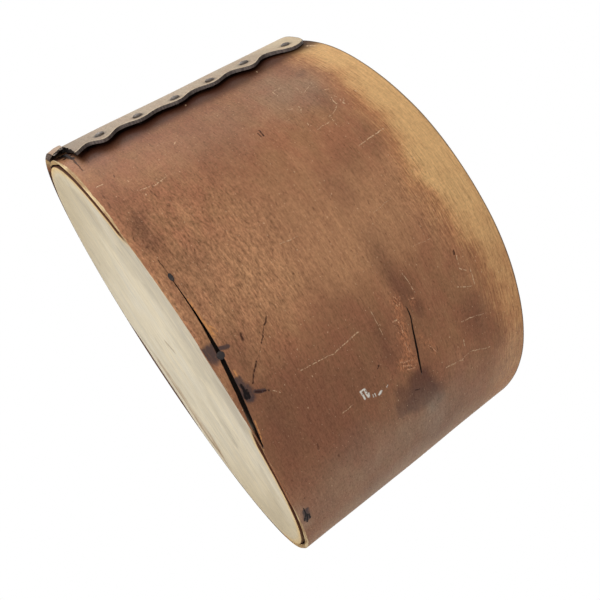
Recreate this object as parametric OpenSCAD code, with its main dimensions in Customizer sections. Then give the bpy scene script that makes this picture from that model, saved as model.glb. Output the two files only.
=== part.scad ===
// Round bentwood pantry box, without its lid.
// One thin strip is bent into a hoop, climbs over its own thinned end and is tacked along a wavy lap.
// A round board is let into the foot of the hoop and held by brads driven through the side.
// The box stands on the XY plane with its mouth up, and the row of tacks looks along -Y.

/* [Hoop] */
// Outside diameter of the hoop, away from the lap
hoop_d = 230; // [170:1:300]
// Height of the hoop
hoop_h = 132; // [100:1:180]
// Thickness of the bent strip
strip_t = 2.6; // [2:0.1:3.6]
// Small bevel worn along the strip's long edges
edge_wear = 0.5; // [0.2:0.1:0.8]

/* [Lap] */
// Length of strip that lies doubled, from the thinned inner end to the tips of the wavy end
lap_len = 48; // [40:1:60]
// Length over which the inner end is thinned
scarf_len = 24; // [16:1:32]
// Thickness left at the very tip of the thinned end
scarf_tip = 0.8; // [0.5:0.1:1.4]
// Clearance between the layers where the thinning ends
lap_gap = 0.3; // [0.2:0.1:0.8]
// Depth of an even wave in the outer end
wave_depth = 6.6; // [4:0.2:8]
// How far the outer end's upper corner is rounded back at the mouth
corner_back = 9; // [5:0.5:12]
// How far the outer end's upper edge is worn down at that corner
corner_wear = 2; // [1:0.5:4]
// Length of strip over which that edge comes back up to the mouth
corner_run = 20; // [12:1:24]

/* [Broken corner] */
// Height of the split that frees the lap's lowest splinter
split_z = 6.4; // [6:0.2:8]
// Width of the split at its open end
split_w = 1.4; // [0.8:0.2:2]
// How far the split runs behind the tack row
split_len = 34; // [24:1:40]
// How far behind the tack row the lowest splinter ends
splinter_back = 6.5; // [5:0.5:12]

/* [Tacks] */
// Diameter of a tack's head
tack_head_d = 4.6; // [3.6:0.2:5.6]
// Height of a tack's domed head
tack_head_h = 0.9; // [0.6:0.1:1.4]
// Diameter of a tack's shank
tack_shank_d = 1.5; // [1.2:0.1:1.8]
// Length of the point bent over inside the box
clinch_len = 3.6; // [2.4:0.2:5]
// Thickness of the bent point as a share of the shank's
clinch_thin = 0.8; // [0.6:0.05:0.9]
// Distance from the tack row to the tips of the waves
tack_setback = 8.2; // [7:0.2:10]
// Height of the lowest tack in the wavy end
tack_low_z = 21; // [18:0.5:24]
// Distance from the mouth down to the highest tack
tack_top_drop = 11; // [9:0.5:16]
// Spacing of the two highest tacks
top_pitch = 24; // [18:0.5:27]

/* [Base board] */
// Thickness of the base board
board_t = 9; // [7:0.5:12]
// Gap round the board where the hoop is round
board_gap = 0.4; // [0.2:0.1:0.8]
// Bevel on the board's edges
board_bevel = 0.9; // [0.4:0.1:1.5]

/* [Brads] */
// Diameter of a brad's head
brad_head_d = 2.8; // [2.2:0.1:3.4]
// Thickness of a brad's head
brad_head_t = 0.5; // [0.3:0.1:0.8]
// Diameter of a brad's shank
brad_shank_d = 1.2; // [1:0.1:1.4]
// Length of a brad under its head
brad_len = 17; // [14:0.5:22]
// Depth of a brad's tapered point
brad_point = 3; // [2:0.5:4]

/* [Clearances] */
// Clearance all round a shank in its hole
shank_gap = 0.06; // [0.04:0.01:0.1]
// Clearance under a head and under a clinched point
seat_gap = 0.06; // [0.04:0.01:0.1]

/* [Hidden] */
$fn = 96;
// Overrun of cutting shapes past the faces they cut
over = 1;
// Steps in which each wave is drawn
wave_steps = 12;
// Tacks in the row of even spacing, below the highest one
even_tacks = 5;
tack_n = even_tacks + 1;
// The waves were cut by eye. From the foot up, in depths of an even wave:
// how far each tip falls short of the longest, and how far each hollow goes in
tip_short = [0.2, 0, 0.45, 0.45, 0.45, 0, 0];
hollow_in = [0.9, 1, 0.9, 1.15, 1.05, 1.25];

hoop_ro = hoop_d / 2;
hoop_ri = hoop_ro - strip_t;
board_r = hoop_ri - board_gap;

// Turn within which the strip climbs over its own end
climb_a = 90;
function arc_deg(length) = length / hoop_ro * 180 / PI;
scarf_a = arc_deg(scarf_len);
// The climbing part bends about a centre moved back by this much, so it leaves the round part smoothly
climb_off = (strip_t + lap_gap) / (1 - cos(climb_a + scarf_a));
tip_a = climb_a + arc_deg(lap_len);
tack_a = tip_a - arc_deg(tack_setback);
// Direction in which the climb starts, which turns the tack row to -Y
climb_start = -90 - tack_a;
inner_end = climb_start + climb_a;
lap_ro = hoop_ro + climb_off;
lap_ri = hoop_ri + climb_off;

tack_high_z = hoop_h - tack_top_drop;
even_pitch = (tack_high_z - top_pitch - tack_low_z) / (even_tacks - 1);
tack_zs = concat([for (i = [0 : even_tacks - 1]) tack_low_z + i * even_pitch], [tack_high_z]);

// Brads go in by eye, so their angles from +X are uneven; the first sits at the splinter's broken end
corner_brad = -90 - arc_deg(splinter_back - brad_head_d);
brad_angles = concat([corner_brad], [-45.3, -28.4, -20.5, 14.4, 50, 86, 122, 157, 194, 228]);
brad_n = len(brad_angles);
brad_z = board_t / 2;

// Distance of the hoop's outer face from the axis in a given direction, with the climb
function from_start(a) = (a - climb_start) % 360 < 0
    ? (a - climb_start) % 360 + 360
    : (a - climb_start) % 360;
function climb_face(f) = sqrt(pow(lap_ro, 2) - pow(climb_off * sin(f), 2)) - climb_off * cos(f);
function face_r(a) = from_start(a) < climb_a ? climb_face(from_start(a)) : hoop_ro;

// Cross-section of the strip, standing on its edge with its inner face at x = r
module strip_section(r) {
    w = edge_wear;
    translate([r, 0])
        polygon([
            [w, 0], [strip_t - w, 0], [strip_t, w], [strip_t, hoop_h - w],
            [strip_t - w, hoop_h], [w, hoop_h], [0, hoop_h - w], [0, w]
        ]);
}

// The round part of the strip, from its thinned inner end to the start of the climb
module round_run() {
    rotate([0, 0, inner_end])
        difference() {
            rotate_extrude(angle = 360 - climb_a) strip_section(hoop_ri);
            scarf_cut();
        }
}

// Flat slice that thins the inner end, from nothing at scarf_a to scarf_tip at the end
module scarf_cut() {
    tip = [hoop_ri + scarf_tip, 0];
    root = [hoop_ro * cos(scarf_a), hoop_ro * sin(scarf_a)];
    run = root - tip;
    clear = strip_t + over;
    translate([tip.x, tip.y, -over])
        rotate([0, 0, atan2(run.y, run.x)])
            translate([-clear, -2 * clear, 0])
                cube([norm(run) + clear, 2 * clear, hoop_h + 2 * over]);
}

// The climbing part of the strip and the lap, cut to its wavy end
module climbing_run() {
    difference() {
        rotate([0, 0, climb_start])
            translate([-climb_off, 0, 0])
                rotate_extrude(angle = tip_a + arc_deg(wave_depth)) strip_section(lap_ri);
        at_tack(0)
            translate([-2 * strip_t, 0, 0])
                rotate([90, 0, 90])
                    linear_extrude(4 * strip_t) beyond_end();
    }
}

// Frame of a tack: +X points out of the lap's outer face, +Y along the strip to its end, +Z up
module at_tack(z) {
    rotate([0, 0, climb_start])
        translate([-climb_off, 0, z])
            rotate([0, 0, tack_a])
                translate([lap_ro, 0, 0])
                    children();
}

// Heights of the tips of the waves: one at the split, then one at each tack
tip_zs = concat([split_z + split_w / 2], tack_zs);

// Wavy edge of the outer end from one tip up to the next
function wave(n) = [
    for (i = [0 : wave_steps - 1])
        let (
            u = i / wave_steps,
            tip = u < 0.5 ? tip_short[n] : tip_short[n + 1],
            cut = tip + (hollow_in[n] - tip) * (1 - cos(360 * u)) / 2
        )
            [tack_setback - wave_depth * cut, tip_zs[n] + u * (tip_zs[n + 1] - tip_zs[n])]
];

// Rounded upper corner, from the highest tack to the worn edge at the mouth
function upper_corner() = [
    for (i = [0 : wave_steps])
        let (u = i / wave_steps)
            [
                tack_setback - corner_back * (1 - cos(90 * u)),
                tack_high_z + (tack_top_drop - corner_wear) * sin(90 * u)
            ]
];

// Everything past the outer end, seen square to the tack row: x along the strip, y up
module beyond_end() {
    far = tack_setback + 2 * wave_depth;
    waves = [for (n = [0 : tack_n - 1]) each wave(n)];
    clear_run = corner_run * (corner_wear + over) / corner_wear;
    polygon(concat(
        [[far, -over], [-splinter_back, -over], [-splinter_back - over, split_z - split_w / 2]],
        [[-split_len, split_z]],
        waves,
        upper_corner(),
        [[tack_setback - corner_back - clear_run, hoop_h + over], [far, hoop_h + over]]
    ));
}

module tack_hole() {
    reach = 4 * strip_t;
    translate([-reach, 0, 0])
        rotate([0, 90, 0])
            cylinder(h = 2 * reach, d = tack_shank_d + 2 * shank_gap, $fn = 32);
}

module brad_hole() {
    translate([board_r - brad_len, 0, brad_z])
        rotate([0, 90, 0])
            cylinder(h = 2 * brad_len, d = brad_shank_d + 2 * shank_gap, $fn = 32);
}

// The bent strip, lapped over its own end
module side_hoop() {
    color("sienna")
        difference() {
            union() {
                round_run();
                climbing_run();
            }
            for (z = tack_zs)
                at_tack(z) tack_hole();
            for (a = brad_angles)
                rotate([0, 0, a]) brad_hole();
        }
}

// The round board let into the hoop's foot
module base_board() {
    b = board_bevel;
    color("wheat")
        difference() {
            rotate_extrude()
                polygon([
                    [0, 0], [board_r - b, 0], [board_r, b],
                    [board_r, board_t - b], [board_r - b, board_t], [0, board_t]
                ]);
            for (a = brad_angles)
                rotate([0, 0, a]) brad_hole();
        }
}

// Domed head of a tack, standing on z = 0
module domed_head(d, h) {
    ball_r = (pow(d / 2, 2) + pow(h, 2)) / (2 * h);
    intersection() {
        translate([0, 0, h - ball_r]) sphere(ball_r, $fn = 48);
        translate([-d, -d, 0]) cube(2 * d);
    }
}

// Tack with a domed head, driven through both layers and bent over against the inside
module seam_tack(i) {
    inside_x = climb_off * -cos(tack_a) + hoop_ri - lap_ro;
    clinch_d = clinch_thin * tack_shank_d;
    clinch_x = inside_x - seat_gap - clinch_d / 2;
    end_x = clinch_x - tack_shank_d / 2;
    root_x = seat_gap + tack_head_h / 2;
    color("dimgray")
        at_tack(tack_zs[i]) {
            rotate([0, 90, 0]) {
                translate([0, 0, seat_gap]) domed_head(tack_head_d, tack_head_h);
                translate([0, 0, end_x]) cylinder(h = root_x - end_x, d = tack_shank_d, $fn = 32);
            }
            translate([clinch_x, 0, -clinch_len])
                cylinder(h = clinch_len, d1 = clinch_d / 2, d2 = clinch_d, $fn = 32);
        }
}

// Small-headed brad, driven through the side into the board's edge
module base_brad(i) {
    a = brad_angles[i];
    color("gray")
        rotate([0, 0, a])
            translate([face_r(a) + seat_gap, 0, brad_z])
                rotate([0, -90, 0]) {
                    translate([0, 0, -brad_head_t])
                        cylinder(h = brad_head_t, d = brad_head_d, $fn = 32);
                    cylinder(h = brad_len - brad_point, d = brad_shank_d, $fn = 32);
                    translate([0, 0, brad_len - brad_point])
                        cylinder(h = brad_point, d1 = brad_shank_d, d2 = brad_shank_d / 4, $fn = 32);
                }
}

side_hoop();
base_board();
for (i = [0 : tack_n - 1])
    seam_tack(i);
for (i = [0 : brad_n - 1])
    base_brad(i);
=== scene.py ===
import math

import bmesh
import bpy
from mathutils import Matrix, Vector, noise


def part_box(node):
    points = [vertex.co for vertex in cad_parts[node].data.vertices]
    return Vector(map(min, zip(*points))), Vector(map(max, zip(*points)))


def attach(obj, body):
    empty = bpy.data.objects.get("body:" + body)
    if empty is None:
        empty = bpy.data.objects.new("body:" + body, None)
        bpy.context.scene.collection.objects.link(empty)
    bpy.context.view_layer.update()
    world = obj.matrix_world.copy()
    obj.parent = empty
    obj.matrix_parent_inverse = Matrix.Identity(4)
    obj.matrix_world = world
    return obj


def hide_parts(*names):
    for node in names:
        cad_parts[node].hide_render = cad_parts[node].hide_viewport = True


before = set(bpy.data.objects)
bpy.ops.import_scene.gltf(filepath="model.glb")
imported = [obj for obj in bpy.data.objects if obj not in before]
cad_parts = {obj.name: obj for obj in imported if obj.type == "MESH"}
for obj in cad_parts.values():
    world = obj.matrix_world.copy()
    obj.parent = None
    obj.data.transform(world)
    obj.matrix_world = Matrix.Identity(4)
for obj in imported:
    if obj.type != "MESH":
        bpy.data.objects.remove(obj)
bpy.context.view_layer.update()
scene = bpy.context.scene
scene.view_settings.view_transform = "Standard"
print("frame loaded:", len(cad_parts), "nodes")

# Pieces are drawn in millimetres and brought to metres once, when they are finished
metres = 0.001
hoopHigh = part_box("side_hoop")[1] / metres
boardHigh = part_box("base_board")[1] / metres


# A shader socket that works in plain arithmetic; it also adds any other node
class Wire:
    def __init__(self, tree, socket=None):
        self.tree = tree
        self.socket = socket

    def node(self, kind, settings=None, sockets=None, out=0):
        made = self.tree.nodes.new(kind)
        for name, value in (settings or {}).items():
            setattr(made, name, value)
        for key, value in (sockets or {}).items():
            if isinstance(value, Wire):
                self.tree.links.new(value.socket, made.inputs[key])
            else:
                made.inputs[key].default_value = value
        return Wire(self.tree, made.outputs[out] if made.outputs else None)

    def maths(self, operation, first, second=0.0):
        return self.node("ShaderNodeMath", {"operation": operation}, {0: first, 1: second})

    def vectors(self, operation, sockets, out=0):
        return self.node("ShaderNodeVectorMath", {"operation": operation}, sockets, out)

    def __add__(self, other):
        return self.maths("ADD", self, other)

    __radd__ = __add__

    def __sub__(self, other):
        return self.maths("SUBTRACT", self, other)

    def __rsub__(self, other):
        return self.maths("SUBTRACT", other, self)

    def __mul__(self, other):
        return self.maths("MULTIPLY", self, other)

    __rmul__ = __mul__

    def most(self, other):
        return self.maths("MAXIMUM", self, other)

    # smooth step from 0 at low to 1 at high, or the other way round
    def step(self, low, high):
        settings = {"interpolation_type": "SMOOTHSTEP", "clamp": False}
        return self.node("ShaderNodeMapRange", settings, {"Value": self, "From Min": low, "From Max": high})

    # colour mix; self is the first colour, unless a plain one is given
    def mix(self, factor, other, blend="MIX", first=None):
        settings = {"data_type": "RGBA", "blend_type": blend}
        return self.node("ShaderNodeMix", settings, {0: factor, 6: first or self, 7: other}, out=2)

    # lays a palette's colours over this one, each through its mask
    def cover(self, palette, layers):
        tone = self
        for mask, name in layers:
            tone = tone.mix(mask, palette[name])
        return tone

    # makes this colour darker or lighter by a plain value
    def shade(self, value):
        grey = self.node("ShaderNodeCombineColor", None, {0: value, 1: value, 2: value})
        return self.mix(1.0, grey, "MULTIPLY")

    def attribute(self, name):
        return self.node("ShaderNodeAttribute", {"attribute_name": name}, None, out=2)

    def objectSpot(self):
        return self.node("ShaderNodeTexCoord", None, None, out=3)

    # The rest are for a wire that carries a spot on the surface
    def axis(self, index):
        return self.node("ShaderNodeSeparateXYZ", None, {0: self}, index)

    def length(self):
        return self.vectors("LENGTH", {0: self}, out=1)

    # noise that is drawn out by different lengths along u, v and w
    def grain(self, lengths, detail, rough, seed):
        move = {"Vector": self, "Location": (seed, seed * 0.7, seed * 1.3),
                "Scale": tuple(1.0 / length for length in lengths)}
        drawn = self.node("ShaderNodeMapping", None, move)
        return self.node("ShaderNodeTexNoise", {"noise_dimensions": "3D"},
                         {"Vector": drawn, "Scale": 1.0, "Detail": detail, "Roughness": rough})

    # the spot moved about by soft noise, so that what is drawn on it gets an uneven outline
    def shaken(self, reach, scale, detail, rough):
        shake = self.node("ShaderNodeTexNoise", None,
                          {"Vector": self, "Scale": scale, "Detail": detail, "Roughness": rough}, out=1)
        moved = self.vectors("MULTIPLY_ADD", {0: shake, 1: reach, 2: self})
        return self.vectors("SUBTRACT", {0: moved, 1: Vector(reach) / 2})

    # soft mask of a short straight line
    def line(self, start, end, width):
        run = Vector(end) - Vector(start)
        fromStart = self.vectors("SUBTRACT", {0: self, 1: start})
        along = self.vectors("DOT_PRODUCT", {0: fromStart, 1: run / run.length_squared}, out=1)
        held = self.node("ShaderNodeClamp", None, {"Value": along})
        foot = self.vectors("SCALE", {0: run, "Scale": held})
        away = self.vectors("DISTANCE", {0: fromStart, 1: foot}, out=1)
        return away.step(width, width * 0.25)


def colour(red, green, blue):
    def linear(level):
        level = level / 255
        return level / 12.92 if level <= 0.04045 else ((level + 0.055) / 1.055) ** 2.4
    return (linear(red), linear(green), linear(blue), 1.0)


def newMaterial(name):
    material = bpy.data.materials.new(name)
    material.use_nodes = True
    material.node_tree.nodes.clear()
    return material, Wire(material.node_tree)


# Ends a material in one Principled shader; varying values come as wires, constants as numbers
def endMaterial(pen, sockets, height, bumpDepth, bumpStrength):
    bump = {"Height": height, "Distance": bumpDepth, "Strength": bumpStrength}
    sockets["Normal"] = pen.node("ShaderNodeBump", None, bump)
    shader = pen.node("ShaderNodeBsdfPrincipled", None, sockets)
    pen.node("ShaderNodeOutputMaterial", None, {"Surface": shader})


def smoothStep(low, high, value):
    share = min(1.0, max(0.0, (value - low) / (high - low)))
    return share * share * (3 - 2 * share)


def between(points, value):
    if value <= points[0][0]:
        return points[0][1]
    for (low, first), (high, second) in zip(points, points[1:]):
        if value <= high:
            return first + (second - first) * (value - low) / (high - low)
    return points[-1][1]


def wobble(x, y, size, seed):
    return noise.noise(Vector((x / size, y / size, seed)))


# A turned solid: an outline of (reach, height) spun once round Z
def turnOutline(outline, steps):
    bm = bmesh.new()
    verts = [bm.verts.new((reach, 0, height)) for reach, height in outline]
    edges = [bm.edges.new(pair) for pair in zip(verts, verts[1:])]
    bmesh.ops.spin(bm, geom=verts + edges, cent=(0, 0, 0), axis=(0, 0, 1), angle=math.tau,
                   steps=steps, use_merge=True)
    bmesh.ops.remove_doubles(bm, verts=bm.verts, dist=0.001)
    return bm


def finishPiece(bm, name, materials, nodes):
    bmesh.ops.scale(bm, vec=(metres, metres, metres), verts=bm.verts)
    mesh = bpy.data.meshes.new(name)
    bm.to_mesh(mesh)
    bm.free()
    for material in materials:
        mesh.materials.append(material)
    mesh.shade_smooth()
    piece = bpy.data.objects.new(name, mesh)
    scene.collection.objects.link(piece)
    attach(piece, "root")
    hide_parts(*nodes)
    return piece


# Side hoop: one strip that starts at its thinned inner end, goes round and climbs over its own start.
# Turns are degrees along the strip from its inner end, angles degrees from +X, heights up from the foot.
strip = {
    "radius": hoopHigh.x, "height": hoopHigh.z, "thick": 2.6,
    "innerEnd": -109.83, "climbFrom": 270.0, "climbOff": 2.402,
    "scarf": 24.0, "tipThick": 0.8,
    "oval": 0.012, "ovalTo": 13.8,              # the hoop has sprung a little out of round
    "sway": 0.35, "swayRadius": 115.0,          # slow waves in the wall, and where their noise is read
    "mouthUneven": 0.45,
    "mainColumns": 372, "lapColumns": 64, "rows": 76,
    "edgeSoft": 0.38,
    # how high the outer arris of the foot has worn away, by angle
    "footArris": [
        (-180, 1.2), (-125, 0.9), (-102, 0.3), (-92, 0.7), (-84, 1.6), (-78, 1.5), (-71, 1.1), (-62, 1.2),
        (-56, 1.0), (-50, 0.9), (-44, 1.1), (-37, 0.8), (-31, 0.2), (6, 0.2), (16, 0.8), (30, 1.4),
        (70, 1.0), (120, 1.2), (180, 1.2),
    ],
    "footBite": 0.72,
}
lap = {
    "setback": 8.2, "waveDepth": 6.6, "cornerBack": 9.0, "cornerWear": 2.0, "cornerRun": 20.0,
    "tipShort": (0.2, 0, 0.45, 0.45, 0.45, 0, 0), "hollowIn": (0.9, 1, 0.9, 1.15, 1.05, 1.25),
    "tackAngle": -90.0, "tackHead": 4.6,
    "split": 6.4, "splitWide": 1.4,
    "splitAfter": 4, "blendCells": 8,           # columns before the split, and cells that bend towards it
    "splinterBack": 6.2, "splinterLift": 1.2, "splinterCurl": 0.3,
    "outerFrom": 300.0, "dustFrom": 320.0, "shadeTo": 60.0,     # turns
    "lift": 0.35, "press": 1.1,                 # off the hoop by the foot, close to it by the mouth
    "fineFrom": 38.0,                           # where the finer columns begin, behind the tack row
    "pared": 0.42, "feather": 0.66,             # share of thickness that the end and the splinter lost
    # painted shadow beside the end: depth by millimetres past the tack row, and how far it spreads by
    # height
    "shade": [
        (4, 0.96), (6, 0.92), (8, 0.86), (10, 0.84), (12, 0.71), (14, 0.50), (16, 0.29), (18, 0.15),
        (21, 0.06), (26, 0),
    ],
    "shadeShift": [(0, 0), (62, 0.5), (70, 2), (88, 2), (98, 0.5), (110, -0.5), (118, -1.5), (132, -1)],
}
# Long split by the foot: (angle, height) of its run and (angle, width) of its opening
footSplit = {
    "run": [
        (-47.6, 5.7), (-45.3, 5.5), (-38, 5.5), (-34.3, 5.3), (-28.4, 4.6), (-21.2, 3.0), (-15.4, 1.55),
        (-9, 0.55),
    ],
    "wide": [
        (-47.6, 0.0), (-45, 0.3), (-40, 0.5), (-34, 0.95), (-30, 1.5), (-27, 1.75), (-20, 1.8), (-16, 1.7),
        (-12.5, 1.2), (-9, 0.5),
    ],
    "row": 3, "reach": 22.0, "least": 0.5, "endGap": 0.35,
}
# Short crack that has opened beside a knot, half way up the wall
knotCrack = {
    "run": [
        (-17, 77.4), (-15.4, 77.8), (-14, 77.7), (-11.1, 76.2), (-7.4, 74.8), (-3.9, 73.7), (-0.4, 73.0),
    ],
    "wide": [(-17, 0.1), (-15.5, 0.45), (-12, 0.7), (-8, 0.9), (-5.5, 1.0), (-2, 0.7), (-0.4, 0.2)],
    "row": 44, "reach": 16.0, "least": 0.5,
}
# Codes for the kinds of edge, which the edge material reads as tones
edgeCodes = {
    "nearFoot": 0.3, "farFoot": 0.42, "mouth": 0.45, "lapFoot": 0.5, "splinter": 0.54,
    "lapEnd": 0.7, "crack": 1.0,
}
tackNodes = ["seam_tack_%d" % number for number in range(1, 7)]
tackHeights = [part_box(node)[1].z / metres - lap["tackHead"] / 2 for node in tackNodes]
tackTurn = 360 + lap["tackAngle"] - strip["innerEnd"]


def arcTurn(length):
    return math.degrees(length / strip["radius"])


def turnAt(angle):
    return (angle - strip["innerEnd"]) % 360


def angleAt(turn):
    return (turn + strip["innerEnd"] + 180) % 360 - 180


# Millimetres past the tack row, along the outer layer
def pastTacks(turn):
    return math.radians(turn - tackTurn) * strip["radius"]


def ovalAt(angle):
    return 1 + strip["oval"] * math.cos(math.radians(2 * (angle - strip["ovalTo"])))


# The strip thins towards its inner end
def thickAt(turn):
    thinned = min(1.0, turn / arcTurn(strip["scarf"]))
    return strip["tipThick"] + (strip["thick"] - strip["tipThick"]) * thinned


def sideRadius(turn, height, below=False):
    angle = strip["innerEnd"] + turn
    radius = strip["radius"]
    if turn > strip["climbFrom"]:
        radius += strip["climbOff"] * (1 - math.cos(math.radians(turn - strip["climbFrom"])))
    radius -= strip["thick"] - thickAt(turn)
    radius *= ovalAt(angle)
    past = pastTacks(turn)
    radius += lap["lift"] * smoothStep(-40, -15, past) * (1 - smoothStep(25, 60, height))
    radius -= lap["press"] * smoothStep(-18, 2, past) * smoothStep(98, 122, height)
    if below:
        curl = lap["splinterCurl"] + (1 - lap["splinterCurl"]) * smoothStep(0, 4, height)
        radius += lap["splinterLift"] * curl * smoothStep(-34, -14, past)
    x = math.cos(math.radians(angle)) * strip["swayRadius"]
    y = math.sin(math.radians(angle)) * strip["swayRadius"]
    sway = wobble(x, y, 48, height / 70) + 0.4 * wobble(x, y, 17, height / 26)
    return radius + strip["sway"] * sway * smoothStep(8, 26, height) * smoothStep(0, 20, turn)


def stripPoint(turn, height, below=False):
    angle = math.radians(strip["innerEnd"] + turn)
    reach = sideRadius(turn, height, below)
    return Vector((math.cos(angle) * reach, math.sin(angle) * reach, height))


# End of the lap past the tack row, in millimetres along the strip
def lapEnd(height, below):
    if below:
        return -lap["splinterBack"] + 1.6 * wobble(height, 0, 2.1, 5.0)
    tips = [lap["split"] + lap["splitWide"] / 2] + tackHeights
    height = max(height, tips[0])
    for n, (low, high) in enumerate(zip(tips, tips[1:])):
        if height < high:
            share = (height - low) / (high - low)
            tip = lap["tipShort"][n if share < 0.5 else n + 1]
            cut = tip + (lap["hollowIn"][n] - tip) * (1 - math.cos(2 * math.pi * share)) / 2
            return lap["setback"] - lap["waveDepth"] * cut
    share = min(1.0, (height - tips[-1]) / (strip["height"] - tips[-1] - lap["cornerWear"]))
    return lap["setback"] - lap["cornerBack"] * (1 - math.sqrt(1 - share * share))


# Where a point of the lap lies, from its share of the way to the end
def lapPlace(share, height, below):
    start = -lap["fineFrom"]
    past = start + (lapEnd(height, below) - start) * share
    cornerAt = lap["setback"] - lap["cornerBack"]
    worn = min(1.0, max(0.0, 1 + (past - cornerAt) / lap["cornerRun"]))
    height -= lap["cornerWear"] * worn * smoothStep(96, strip["height"], height)
    past = start + (lapEnd(height, below) - start) * share
    return tackTurn + arcTurn(past), height


# 1 on the half of the foot that is turned away in the photo
def farSide(angle):
    return smoothStep(82, 96, abs(angle + 30))


# Painted shadow on the inner layer, beside the end of the lap and under its splinter
def lapShade(turn, height):
    past = math.radians(turn + 360 - tackTurn) * strip["radius"] - between(lap["shadeShift"], height)
    return between(lap["shade"], past) * max(smoothStep(5, 9, height), 1 - smoothStep(-10, -6, past))


# Moves the rows near a crack so that one row runs along it
def followCrack(crack, angle, height, rowHeight):
    first, last = crack["run"][0][0], crack["run"][-1][0]
    fade = smoothStep(first - 6, first - 1, angle) * (1 - smoothStep(last + 1, last + 6, angle))
    target = rowHeight + (between(crack["run"], angle) - rowHeight) * fade
    low, high = max(0.0, rowHeight - crack["reach"]), rowHeight + crack["reach"]
    if height <= low or height >= high:
        return height
    if height < rowHeight:
        return low + (height - low) * (target - low) / (rowHeight - low)
    return high - (high - height) * (high - target) / (high - rowHeight)


def columnPlace(column, height, below):
    fineTurn = tackTurn - arcTurn(lap["fineFrom"])
    if column <= strip["mainColumns"]:
        return fineTurn * column / strip["mainColumns"], height
    return lapPlace((column - strip["mainColumns"]) / strip["lapColumns"], height, below)


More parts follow.
